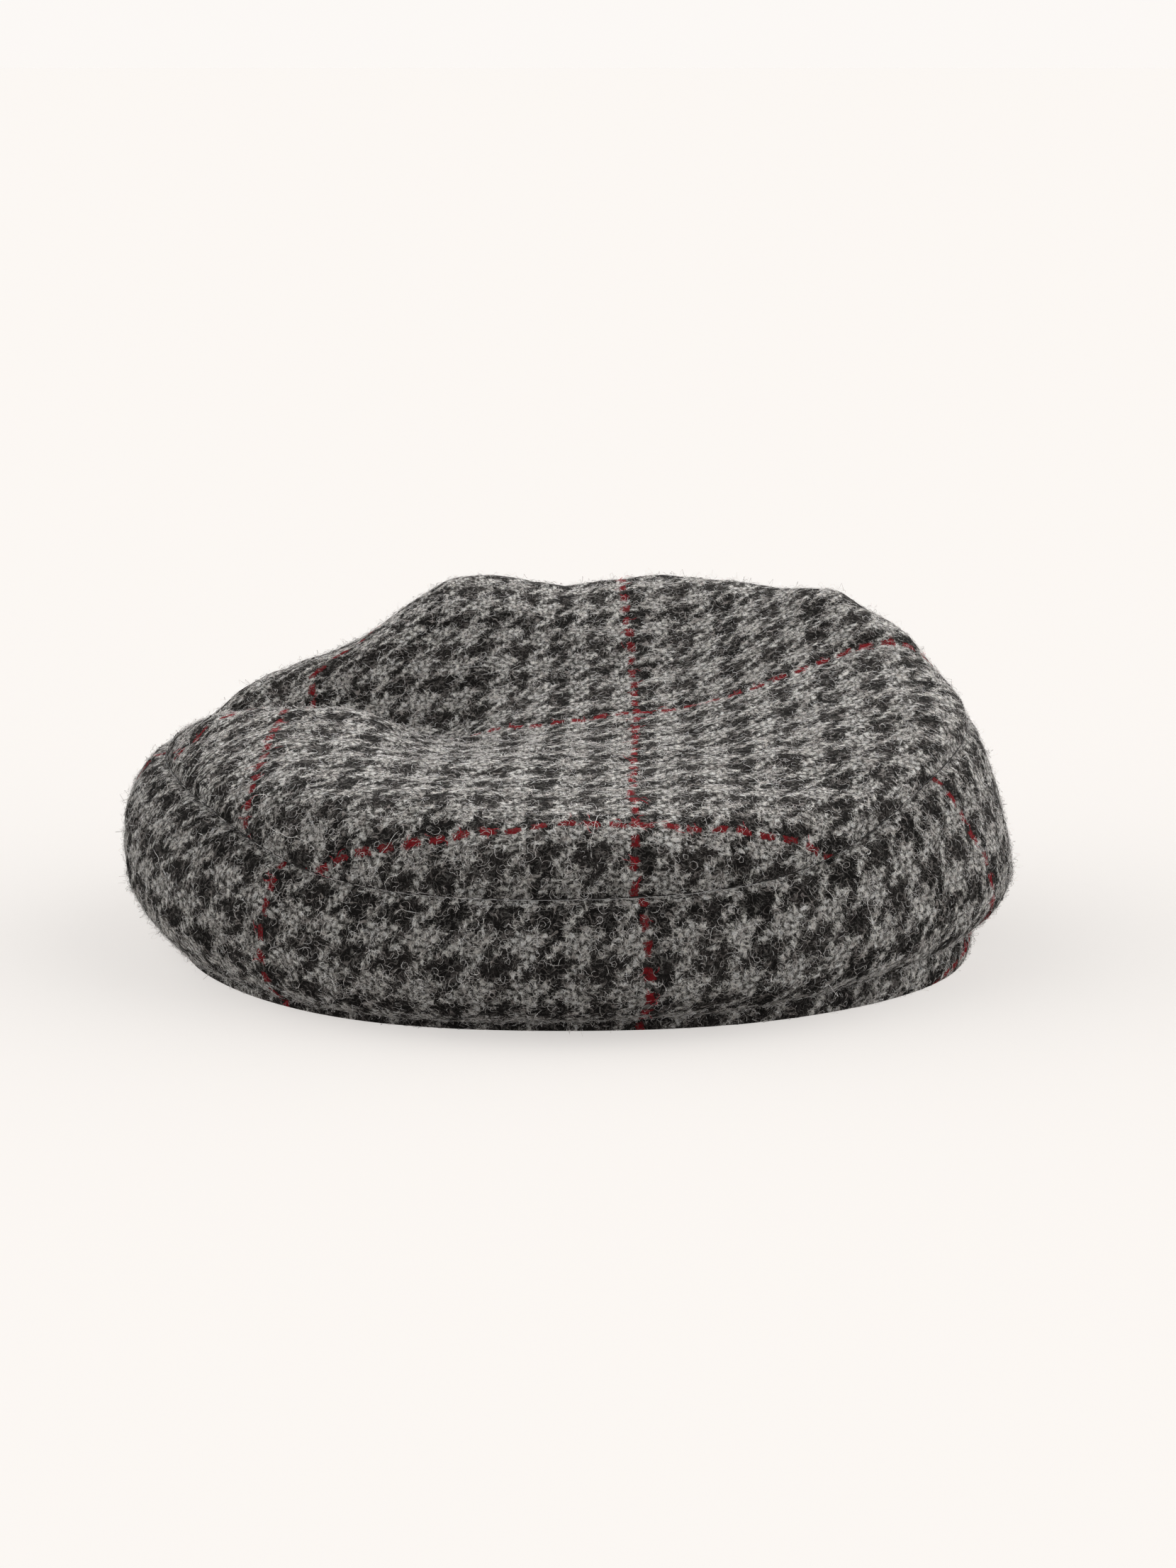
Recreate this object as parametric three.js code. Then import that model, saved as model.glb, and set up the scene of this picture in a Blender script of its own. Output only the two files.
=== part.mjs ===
// A soft wool tam o' shanter as it lies on a table: a round top sewn to a bulging side panel,
// and a headband standing inside the head opening.
// Millimetres, +Z up. X runs across the widest part, and the side seen first faces -Y.
import * as THREE from 'three';

// Sizes of the hat as it lies.
const HAT_WIDTH = 281;        // side panel, widest point to widest point
const HAT_DEPTH = 260;        // side panel, front to back
const TOP_HEIGHT = 100;       // highest swell of the top
const SEAM_HEIGHT = 70;       // crown seam where it stands highest, on the right
const OPENING_WIDTH = 178;    // head opening across, inside the side panel's edge
const OPENING_DEPTH = 189;    // head opening front to back
const BAND_HEIGHT = 28;       // headband
const CLOTH = 2.5;            // milled wool cloth
const BAND_CLOTH = 2.2;       // headband's wall
const SEAM_SINK = 1.6;        // how far the crown seam pulls the cloth in
const SEAM_ROLL = 5;          // stretch of cloth on each side that rolls into the seam
const FOOT_STRIP = 10;        // strip of cloth below the crease at the foot, where it is highest
const STRIP_BULGE = 1.2;      // how far the strip swells out
const GAP = 0.3;              // between two sewn pieces

// Fineness of the meshes.
const SPOKES = 64;
const TOP_RINGS = 16;
const WALL_RINGS = 7;
const TUCK_RINGS = 5;
const STRIP_RINGS = 2;
const FLAT_RINGS = 2;
const SLIGHT_TURN = 1;        // degrees, and share of a step, over which a face's slope is taken
const SLIGHT_STEP = 0.01;
const RING_SPREAD = 0.9;      // under 1 draws the top's rings closer to its seam

// The crown seam round the hat, by turn in degrees from +X. out is a share of the half width and
// half depth, up of SEAM_HEIGHT. shoulder says how squarely the top turns down to the seam, and
// lean how many degrees above level the seam faces.
const SEAM = [
  { turn: 0, out: 0.900, up: 1.00, shoulder: 14, lean: 30 },
  { turn: 30, out: 0.895, up: 1.00, shoulder: 16, lean: 30 },
  { turn: 60, out: 0.900, up: 0.95, shoulder: 16, lean: 28 },
  { turn: 90, out: 0.900, up: 0.88, shoulder: 14, lean: 30 },
  { turn: 120, out: 0.915, up: 0.84, shoulder: 14, lean: 32 },
  { turn: 150, out: 0.920, up: 0.84, shoulder: 14, lean: 42 },
  { turn: 180, out: 0.910, up: 0.86, shoulder: 10, lean: 50 },
  { turn: 210, out: 0.890, up: 0.77, shoulder: 14, lean: 42 },
  { turn: 240, out: 0.935, up: 0.61, shoulder: 16, lean: 32 },
  { turn: 270, out: 0.938, up: 0.59, shoulder: 16, lean: 28 },
  { turn: 300, out: 0.930, up: 0.64, shoulder: 16, lean: 30 },
  { turn: 330, out: 0.885, up: 0.87, shoulder: 14, lean: 30 },
];

// The side panel round the hat. bulgeOut and footOut are shares of the half width and half depth,
// bulgeUp of the height of the seam above it, and strip of FOOT_STRIP. full and square say how far
// the cloth keeps to the bulge's reach on its way down from the seam and on down to the foot.
const WALL = [
  { turn: 0, bulgeOut: 1.000, bulgeUp: 0.34, full: 0.25, square: 0.70, footOut: 0.89, strip: 0.80 },
  { turn: 30, bulgeOut: 0.990, bulgeUp: 0.36, full: 0.30, square: 0.70, footOut: 0.88, strip: 0.30 },
  { turn: 60, bulgeOut: 0.990, bulgeUp: 0.38, full: 0.35, square: 0.70, footOut: 0.88, strip: 0.20 },
  { turn: 90, bulgeOut: 1.000, bulgeUp: 0.42, full: 0.40, square: 0.65, footOut: 0.88, strip: 0.20 },
  { turn: 120, bulgeOut: 0.990, bulgeUp: 0.45, full: 0.45, square: 0.65, footOut: 0.88, strip: 0.20 },
  { turn: 150, bulgeOut: 0.990, bulgeUp: 0.50, full: 0.60, square: 0.60, footOut: 0.88, strip: 0.20 },
  { turn: 180, bulgeOut: 1.000, bulgeUp: 0.52, full: 0.67, square: 0.60, footOut: 0.87, strip: 0.20 },
  { turn: 210, bulgeOut: 0.990, bulgeUp: 0.50, full: 0.60, square: 0.60, footOut: 0.88, strip: 0.20 },
  { turn: 240, bulgeOut: 0.990, bulgeUp: 0.48, full: 0.50, square: 0.70, footOut: 0.90, strip: 0.20 },
  { turn: 270, bulgeOut: 1.000, bulgeUp: 0.46, full: 0.50, square: 0.70, footOut: 0.875, strip: 0.25 },
  { turn: 300, bulgeOut: 0.990, bulgeUp: 0.45, full: 0.50, square: 0.70, footOut: 0.90, strip: 0.50 },
  { turn: 330, bulgeOut: 0.990, bulgeUp: 0.40, full: 0.35, square: 0.70, footOut: 0.92, strip: 1.00 },
];

// Heights of the top over the hat, in cross sections from front to back, as shares of TOP_HEIGHT.
// Each row lies across the hat, at back steps behind the middle. Rows are a TOP_STEP share of the
// half depth apart, and columns the same share of the half width.
const TOP_STEP = 0.27;
const TOP_ROWS = [
  { back: -3, farLeft: .61, left: .62, nearLeft: .62, mid: .62, nearRight: .62, right: .61, farRight: .62 },
  { back: -2, farLeft: .63, left: .66, nearLeft: .65, mid: .65, nearRight: .65, right: .65, farRight: .68 },
  { back: -1, farLeft: .68, left: .69, nearLeft: .65, mid: .665, nearRight: .68, right: .72, farRight: .76 },
  { back: 0, farLeft: .71, left: .70, nearLeft: .63, mid: .665, nearRight: .71, right: .79, farRight: .83 },
  { back: 1, farLeft: .71, left: .67, nearLeft: .71, mid: .75, nearRight: .80, right: .90, farRight: .89 },
  { back: 2, farLeft: .80, left: .82, nearLeft: .94, mid: .925, nearRight: .96, right: 1.00, farRight: .96 },
  { back: 3, farLeft: .80, left: .90, nearLeft: 1.07, mid: 1.01, nearRight: 1.06, right: 1.04, farRight: .92 },
];
const TOP_COLUMNS = ['farLeft', 'left', 'nearLeft', 'mid', 'nearRight', 'right', 'farRight'];

// Folds and swells of the top. Each runs between two places given across and back, as shares of the
// half width and half depth. rise is a share of TOP_HEIGHT, spread its half width over HAT_WIDTH.
const FOLDS = [
  { name: 'front left hump', from: [-0.78, -0.05], to: [-0.45, -0.02], rise: 0.035, spread: 0.050 },
  { name: 'valley behind it', from: [-0.82, 0.22], to: [-0.30, 0.17], rise: -0.060, spread: 0.055 },
  { name: 'back left swell', from: [-0.80, 0.36], to: [-0.68, 0.44], rise: 0.045, spread: 0.050 },
  { name: 'back right swell', from: [0.64, 0.42], to: [0.74, 0.28], rise: 0.060, spread: 0.055 },
];

const HALF_WIDTH = HAT_WIDTH / 2;
const HALF_DEPTH = HAT_DEPTH / 2;
const radians = THREE.MathUtils.degToRad;

// The smooth curve through four values, between the second and the third.
function smoothBetween(before, start, end, after, part) {
  const rise = 0.5 * (end - before);
  const fall = 0.5 * (after - start);
  const square = part * part;
  const cube = square * part;
  return start * (2 * cube - 3 * square + 1) + rise * (cube - 2 * square + part)
    + end * (3 * square - 2 * cube) + fall * (cube - square);
}

// A column of a table that goes round the hat, at any turn.
function aroundHat(table, column, turn) {
  const place = THREE.MathUtils.euclideanModulo(turn, 360) / (table[1].turn - table[0].turn);
  const first = Math.floor(place);
  const at = (step) => table[(first + step + table.length) % table.length][column];
  return smoothBetween(at(-1), at(0), at(1), at(2), place - first);
}

// A row of the top's cross sections, at a share of the half width.
function acrossRow(row, across) {
  const last = TOP_COLUMNS.length - 1;
  const place = THREE.MathUtils.clamp(across / TOP_STEP + last / 2, 0, last);
  const first = Math.min(Math.floor(place), last - 1);
  const at = (step) => row[TOP_COLUMNS[THREE.MathUtils.clamp(first + step, 0, last)]];
  return smoothBetween(at(-1), at(0), at(1), at(2), place - first);
}

// Height of the top, before it turns down to its seam, at shares of the half width and half depth.
function topHeight(across, back) {
  const last = TOP_ROWS.length - 1;
  const place = THREE.MathUtils.clamp(back / TOP_STEP - TOP_ROWS[0].back, 0, last);
  const first = Math.min(Math.floor(place), last - 1);
  const at = (step) => acrossRow(TOP_ROWS[THREE.MathUtils.clamp(first + step, 0, last)], across);
  let share = smoothBetween(at(-1), at(0), at(1), at(2), place - first);
  for (const fold of FOLDS) {
    share += fold.rise * Math.exp(-(distanceToFold(fold, across, back) ** 2));
  }
  return TOP_HEIGHT * share;
}

// Distance from the line of a fold, in its own half widths.
function distanceToFold(fold, across, back) {
  const half = new THREE.Vector2(HALF_WIDTH, HALF_DEPTH);
  const start = new THREE.Vector2(...fold.from).multiply(half);
  const end = new THREE.Vector2(...fold.to).multiply(half);
  const place = new THREE.Vector2(across, back).multiply(half);
  const run = end.clone().sub(start);
  const along = THREE.MathUtils.clamp(place.clone().sub(start).dot(run) / run.lengthSq(), 0, 1);
  return place.distanceTo(start.addScaledVector(run, along)) / (fold.spread * HAT_WIDTH);
}

// A point over the hat from its turn, its share of the half width and half depth, and its height.
function pointAt(turn, out, up) {
  const angle = radians(turn);
  return new THREE.Vector3(HALF_WIDTH * out * Math.cos(angle), HALF_DEPTH * out * Math.sin(angle), up);
}

// A point of the head opening's edge, moved in from it by an inset.
function openingAt(turn, inset, up) {
  const angle = radians(turn);
  const across = (0.5 * OPENING_WIDTH - inset) * Math.cos(angle);
  const back = (0.5 * OPENING_DEPTH - inset) * Math.sin(angle);
  return new THREE.Vector3(across, back, up);
}

// Direction straight out from the hat's rim at a turn.
function outward(turn) {
  const angle = radians(turn);
  return new THREE.Vector3(Math.cos(angle) / HALF_WIDTH, Math.sin(angle) / HALF_DEPTH, 0).normalize();
}

// The crown seam at a turn: its place, the way it faces, and the way the cloth runs across it.
function seamAt(turn) {
  const lean = radians(aroundHat(SEAM, 'lean', turn));
  const out = outward(turn);
  const up = new THREE.Vector3(0, 0, 1);
  const facing = out.clone().multiplyScalar(Math.cos(lean)).addScaledVector(up, Math.sin(lean));
  const down = out.clone().multiplyScalar(Math.sin(lean)).addScaledVector(up, -Math.cos(lean));
  const place = pointAt(turn, aroundHat(SEAM, 'out', turn), SEAM_HEIGHT * aroundHat(SEAM, 'up', turn));
  return { place, facing, down };
}

// How far cloth is pulled in at a distance from the crown seam.
function seamSink(distance) {
  return SEAM_SINK * Math.exp(-((distance / (0.5 * SEAM_ROLL)) ** 2));
}

// The top's outer face at a turn and a share of the way from its middle to its seam.
function topPoint(turn, share) {
  const seam = seamAt(turn);
  const out = share * aroundHat(SEAM, 'out', turn);
  const angle = radians(turn);
  const plain = topHeight(out * Math.cos(angle), out * Math.sin(angle));
  const turned = 1 - share ** aroundHat(SEAM, 'shoulder', turn);
  const up = seam.place.z + (plain - seam.place.z) * turned;
  const point = pointAt(turn, out, up);
  return point.addScaledVector(seam.facing, -seamSink(point.distanceTo(seam.place)));
}

// The side panel's outer face at a turn. along runs from 0 at the crown seam to 1 at the widest
// point, 2 at the crease, 3 at the foot and 4 at the head opening.
function sidePoint(turn, along) {
  const seam = seamAt(turn);
  const bulgeOut = aroundHat(WALL, 'bulgeOut', turn);
  const bulgeUp = seam.place.z * aroundHat(WALL, 'bulgeUp', turn);
  const bulge = pointAt(turn, bulgeOut, bulgeUp);
  const crease = pointAt(turn, aroundHat(WALL, 'footOut', turn), FOOT_STRIP * aroundHat(WALL, 'strip', turn));
  const foot = crease.clone().setZ(0);
  if (along <= 1) {
    const heldUp = THREE.MathUtils.lerp(bulgeUp, seam.place.z, aroundHat(WALL, 'full', turn));
    const held = pointAt(turn, bulgeOut, heldUp);
    const point = new THREE.QuadraticBezierCurve3(seam.place, held, bulge).getPoint(along);
    return point.addScaledVector(seam.facing, -seamSink(point.distanceTo(seam.place)));
  }
  if (along <= 2) {
    const underUp = THREE.MathUtils.lerp(bulgeUp, crease.z, aroundHat(WALL, 'square', turn));
    const under = pointAt(turn, bulgeOut, underUp);
    return new THREE.QuadraticBezierCurve3(bulge, under, crease).getPoint(along - 1);
  }
  if (along <= 3) {
    const swell = STRIP_BULGE * aroundHat(WALL, 'strip', turn) * Math.sin(Math.PI * (along - 2));
    return crease.lerp(foot, along - 2).addScaledVector(outward(turn), swell);
  }
  return foot.lerp(openingAt(turn, 0, 0), along - 3);
}

// The way a face looks at a point of it, from the points just round it.
function facingAt(face, turn, along, most) {
  const before = face(turn, Math.max(along - SLIGHT_STEP, 0));
  const after = face(turn, Math.min(along + SLIGHT_STEP, most));
  const left = face(turn - SLIGHT_TURN, along);
  const right = face(turn + SLIGHT_TURN, along);
  return after.sub(before).cross(right.sub(left)).normalize();
}

// Both faces of a cloth from the rings of its outer face, each point with the way it faces there.
function clothRings(steps, face, facing) {
  const back = (turn, step) => face(turn, step).addScaledVector(facing(turn, step), -CLOTH);
  const outerRings = steps.map((step) => ringOf((turn) => face(turn, step)));
  const innerRings = steps.map((step) => ringOf((turn) => back(turn, step)));
  return [...outerRings, ...innerRings.reverse()];
}

// A closed solid from rings of points that follow one another round its wall. The wall closes from
// the last ring to the first, unless both are single points.
function solidFromRings(rings) {
  const points = rings.flat();
  const faces = [];
  let start = 0;
  const corners = rings.map((ring) => {
    const first = start;
    start += ring.length;
    return (spoke) => first + spoke % ring.length;
  });
  for (let ring = 0; ring < rings.length; ring += 1) {
    const next = (ring + 1) % rings.length;
    for (let spoke = 0; spoke < SPOKES; spoke += 1) {
      const near = [corners[ring](spoke), corners[ring](spoke + 1)];
      const far = [corners[next](spoke), corners[next](spoke + 1)];
      if (rings[ring].length > 1) faces.push(near[0], far[0], near[1]);
      if (rings[next].length > 1) faces.push(near[1], far[0], far[1]);
    }
  }
  const geometry = new THREE.BufferGeometry();
  const coordinates = points.flatMap((point) => point.toArray());
  geometry.setAttribute('position', new THREE.Float32BufferAttribute(coordinates, 3));
  geometry.setIndex(faces);
  geometry.computeVertexNormals();
  return geometry;
}

// A ring of points round the hat.
function ringOf(pointAtTurn) {
  return Array.from({ length: SPOKES }, (_, spoke) => pointAtTurn(360 * spoke / SPOKES));
}

// Even steps from one number to another, without the first.
function evenSteps(from, to, count) {
  return Array.from({ length: count }, (_, step) => from + (to - from) * (step + 1) / count);
}

// The top: a round cloth with its slumped swells, down to its edge at the crown seam.
function topGeometry() {
  const shares = evenSteps(0, 0.5 * Math.PI, TOP_RINGS).map((angle) => Math.sin(angle) ** RING_SPREAD);
  const facing = (turn, share) => (share === 1 ? seamAt(turn).facing : facingAt(topPoint, turn, share, 1));
  const middle = topPoint(0, 0);
  const middleUnder = middle.clone().setZ(middle.z - CLOTH);
  return solidFromRings([[middle], ...clothRings(shares, topPoint, facing), [middleUnder]]);
}

// The side panel: from the crown seam out over its bulge, in under the hat and flat to the opening.
function sideGeometry() {
  const wall = [0, ...evenSteps(0, 1, WALL_RINGS)];
  const tuck = evenSteps(1, 2, TUCK_RINGS);
  const strip = evenSteps(2, 3, STRIP_RINGS);
  const flat = evenSteps(3, 4, FLAT_RINGS);
  const down = new THREE.Vector3(0, 0, -1);
  const face = (turn, along) => {
    const point = sidePoint(turn, along);
    return along === 0 ? point.addScaledVector(seamAt(turn).down, GAP) : point;
  };
  const facing = (turn, along) => {
    if (along === 0) return seamAt(turn).facing;
    return along >= 3 ? down : facingAt(sidePoint, turn, along, 3);
  };
  return solidFromRings(clothRings([...wall, ...tuck, ...strip, ...flat], face, facing));
}

// The headband: a plain upright strip inside the opening.
function bandGeometry() {
  const inner = GAP + BAND_CLOTH;
  return solidFromRings([
    ringOf((turn) => openingAt(turn, GAP, BAND_HEIGHT)),
    ringOf((turn) => openingAt(turn, GAP, 0)),
    ringOf((turn) => openingAt(turn, inner, 0)),
    ringOf((turn) => openingAt(turn, inner, BAND_HEIGHT)),
  ]);
}

// A named piece of wool cloth of one average colour.
function cloth(name, geometry, colour) {
  const material = new THREE.MeshStandardMaterial({ color: colour, roughness: 0.95, metalness: 0 });
  const mesh = new THREE.Mesh(geometry, material);
  mesh.name = name;
  return mesh;
}

const hat = new THREE.Group();
hat.add(cloth('crown_top', topGeometry(), 0x6f6e6c));
hat.add(cloth('side_panel', sideGeometry(), 0x62605e));
hat.add(cloth('headband', bandGeometry(), 0x4a4847));

export default hat;
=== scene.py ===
"""A soft wool tam o' shanter lying on a pale table: a houndstooth tweed top sewn to a bulging side
panel, a headband inside, and the fuzz of the milled wool. Metres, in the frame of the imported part."""

import math

import bmesh
import bpy
import numpy as np
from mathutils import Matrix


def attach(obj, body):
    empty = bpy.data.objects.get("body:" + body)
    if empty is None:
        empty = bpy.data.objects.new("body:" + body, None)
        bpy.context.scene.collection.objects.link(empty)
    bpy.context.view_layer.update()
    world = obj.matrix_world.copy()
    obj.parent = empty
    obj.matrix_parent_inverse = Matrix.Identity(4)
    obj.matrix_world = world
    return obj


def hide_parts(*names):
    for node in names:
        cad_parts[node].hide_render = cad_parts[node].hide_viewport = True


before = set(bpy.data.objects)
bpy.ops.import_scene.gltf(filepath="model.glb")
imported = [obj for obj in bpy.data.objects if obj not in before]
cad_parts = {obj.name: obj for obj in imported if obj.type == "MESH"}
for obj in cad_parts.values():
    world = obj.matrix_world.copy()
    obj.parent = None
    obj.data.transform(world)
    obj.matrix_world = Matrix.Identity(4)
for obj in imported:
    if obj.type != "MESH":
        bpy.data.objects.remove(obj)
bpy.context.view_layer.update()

bl_info = {
    "name": "Tweed Tam",
    "version": (1, 0, 0),
    "blender": (4, 5, 0),
    "location": "3D View > Sidebar > Tweed Tam",
    "description": "Builds a soft houndstooth tam, the fuzz of its wool and a plain pale studio",
    "category": "Object",
}

MM = 0.001

# The weave, in yarns: its repeat, a group of one colour, and from one red yarn to the next.
REPEAT = 4.0
GROUP = 4.0
PANE = 64.0

# The crown seam, every 30 degrees of turn from +X. out is a share of the half width and half depth,
# up of the seam's height. shoulder says how squarely the top turns down to the seam, and lean how
# many degrees above level the seam faces.
SEAM_COLUMNS = ("out", "up", "shoulder", "lean")
SEAM_ROWS = (
    (0.900, 1.00, 14, 30),
    (0.895, 1.00, 16, 30),
    (0.900, 0.95, 16, 28),
    (0.900, 0.88, 14, 30),
    (0.915, 0.84, 14, 32),
    (0.920, 0.84, 14, 42),
    (0.910, 0.86, 10, 50),
    (0.890, 0.77, 14, 42),
    (0.935, 0.61, 16, 32),
    (0.938, 0.59, 16, 28),
    (0.930, 0.64, 16, 30),
    (0.885, 0.87, 14, 30),
)

# The side panel at the same turns. bulge_out and foot_out are shares of the half width and half
# depth, bulge_up of the height of the seam above, and strip of the foot strip's height. full and
# square say how far the cloth keeps to the bulge's reach on its way down from the seam and on.
WALL_COLUMNS = ("bulge_out", "bulge_up", "full", "square", "foot_out", "strip")
WALL_ROWS = (
    (1.000, 0.34, 0.25, 0.70, 0.890, 0.80),
    (0.990, 0.36, 0.30, 0.70, 0.880, 0.30),
    (0.990, 0.38, 0.35, 0.70, 0.880, 0.20),
    (1.000, 0.42, 0.40, 0.65, 0.880, 0.20),
    (0.990, 0.45, 0.45, 0.65, 0.880, 0.20),
    (0.990, 0.50, 0.60, 0.60, 0.880, 0.20),
    (1.000, 0.52, 0.67, 0.60, 0.870, 0.20),
    (0.990, 0.50, 0.60, 0.60, 0.880, 0.20),
    (0.990, 0.48, 0.50, 0.70, 0.900, 0.20),
    (1.000, 0.46, 0.50, 0.70, 0.875, 0.25),
    (0.990, 0.45, 0.50, 0.70, 0.900, 0.50),
    (0.990, 0.40, 0.35, 0.70, 0.920, 1.00),
)

# Heights of the top in cross sections from front to back, each from left to right, as shares of the
# top's height. Rows and columns lie a TOP_STEP share of the half depth and half width apart.
TOP_STEP = 0.27
TOP_ROWS = (
    (0.61, 0.62, 0.62, 0.620, 0.62, 0.61, 0.62),
    (0.63, 0.66, 0.65, 0.650, 0.65, 0.65, 0.68),
    (0.68, 0.69, 0.65, 0.665, 0.68, 0.72, 0.76),
    (0.71, 0.70, 0.63, 0.665, 0.71, 0.79, 0.83),
    (0.71, 0.67, 0.71, 0.750, 0.80, 0.90, 0.89),
    (0.80, 0.82, 0.94, 0.925, 0.96, 1.00, 0.96),
    (0.80, 0.90, 1.07, 1.010, 1.06, 1.04, 0.92),
)

# Folds and swells of the top: two places across and back as shares of the half width and half
# depth, the rise as a share of the top's height, and the spread as a share of the hat's width.
FOLDS = (
    ((-0.78, -0.05), (-0.45, -0.02), 0.035, 0.050),
    ((-0.82, 0.22), (-0.30, 0.17), -0.075, 0.055),
    ((-0.74, 0.36), (-0.46, 0.46), 0.030, 0.035),
    ((-0.70, 0.62), (-0.46, 0.66), -0.020, 0.040),
    ((0.64, 0.42), (0.74, 0.28), 0.075, 0.055),
)

# Where red yarns lie on the top, seen from above, in metres. A warp line gives x at each y, from
# front to back, and a weft line y at each x, from left to right.
CENTRE_WARP = ((-0.121, 0.0182), (-0.071, 0.0180), (-0.037, 0.0192), (0.006, 0.0201),
               (0.047, 0.0192), (0.058, 0.0177), (0.085, 0.0165), (0.115, 0.0160))
LEFT_WARP = ((-0.121, -0.0965), (-0.075, -0.0955), (-0.046, -0.0930), (-0.023, -0.0915),
             (0.035, -0.0845), (0.050, -0.0850), (0.064, -0.0710), (0.077, -0.0652), (0.115, -0.0600))
MIDDLE_WEFT = ((-0.125, -0.024), (-0.117, -0.0195), (-0.110, -0.010), (-0.085, 0.012), (-0.060, 0.016),
               (-0.033, 0.012), (-0.010, 0.005), (0.020, 0.006), (0.043, 0.005), (0.058, 0.007),
               (0.071, 0.011), (0.083, 0.017), (0.098, 0.022), (0.111, 0.0245), (0.125, 0.027))
FRONT_WEFT = ((-0.125, -0.085), (-0.095, -0.094), (-0.070, -0.1018), (-0.049, -0.1079), (-0.028, -0.1096),
              (0.006, -0.1086), (0.028, -0.1069), (0.053, -0.1029), (0.071, -0.0989), (0.125, -0.085))

# Yarns counted round the side panel from its middle red one, at turns in degrees, and how many
# degrees its yarns lean over within PANEL_LEAN_RUN of the seam. The count begins and ends at the
# back, at PANEL_BACK. Down the panel the yarns are counted from PANEL_TOP_YARN at the seam, falling.
PANEL_BACK = -270
PANEL_TOP_YARN = 37.5
PANEL_LEAN_RUN = 0.06
PANEL_YARNS = ((-270, -240), (-180, -129), (-130, -64), (-81.2, 0), (-33, 58), (0, 96), (90, 208))
PANEL_LEAN = ((-270, 0), (-180, -3), (-130, -1.5), (-81.2, 0.5), (-50, 2), (-31, 8), (0, 6), (90, 0))

# Lumps of the milled cloth: their size in mm, and their longest and shortest wave in metres. Each
# kind is a sum of LUMP_WAVES waves over LUMP_DIVISOR. It mostly stays within its size, and reaches
# nearly twice that in a few places. The side's face is sunk a little.
LUMPS = ((0.6, 0.050, 0.022), (0.30, 0.016, 0.007))
LUMP_WAVES = 22
LUMP_DIVISOR = 5.0
TOP_SEEDS = (3, 5)
SIDE_SEEDS = (4, 6)
SIDE_SUNK = 0.5 * MM

# Half the width and half the depth over which the top's yarns are counted, and how far apart.
MAP_REACH = (0.1425, 0.1320)
MAP_STEP = 1.5 * MM

# Vertices round the top and the side panel, and round the headband, and the headband's yarns.
SPOKES = 260
BAND_SPOKES = 240
BAND_YARNS = 320

# The seam's thread and the stitches beside it: radii, lifts and distances in mm, turns in degrees,
# and their colour.
THREAD_RADIUS = 0.34
THREAD_SUNK = 0.10
STITCHES = 216
STITCH_OFF = 4.4
STITCH_RADIUS = 0.16
STITCH_LIFT = 0.18
STITCH_TURN = 1.0
STITCH_STRAY = 0.15
THREAD_SHADE = (0.022, 0.020, 0.019)

# Curly fibres matted over the weave: the scale of their noise and their place in it, how strongly
# they show over light and over dark yarns, their wool and a factor on its colour. The stray ones
# lie over all the others.
MAT_ROWS = (
    (420.0, 0.0, 0.75, 0.50, "charcoal", 0.6),
    (560.0, 3.1, 0.75, 0.50, "black", 1.5),
    (380.0, 7.3, 0.75, 0.14, "light", 1.1),
    (520.0, 5.7, 0.65, 0.10, "light", 1.1),
    (300.0, 9.2, 0.50, 0.20, "light", 0.6),
)
STRAY_SCALE = 280.0
STRAY_PLACE = 11.7
STRAY_BARE = 0.50
STRAY_STRENGTH = 0.38

# The stage: a factor on the table's colour, its glow on the hat and to the camera, how far it lies
# below the hat, the room's light in front and behind, how much is added at its sides, and its colour
# and the backdrop's.
TABLE_SHARE = 0.52
TABLE_GLOW = (0.34, 0.60)
TABLE_SUNK = 0.2 * MM
ROOM_LIGHT = (0.01, 0.42)
ROOM_SIDES = 2.6
ROOM_COLOUR = (1.0, 0.985, 0.96, 1.0)
BACKDROP = (0.975, 0.943, 0.916, 1.0)

# Lamps: their energy, their spread in degrees, and how far they tilt back and lean aside.
LAMPS = (
    ("overhead", 5.8, 50.0, -56.0, 20.0),
    ("from the right", 1.7, 60.0, -6.0, 70.0),
    ("from the left", 1.1, 60.0, -6.0, -70.0),
)
LAMP_COLOUR = (1.0, 0.99, 0.975)

# The camera: its lens in mm, its distance, its degrees above the table, and the place it looks at.
LENS = 80.0
DISTANCE = 1.1
ABOVE = 12.0
AIM = (0.0059, 0.0, 0.0482)


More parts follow.
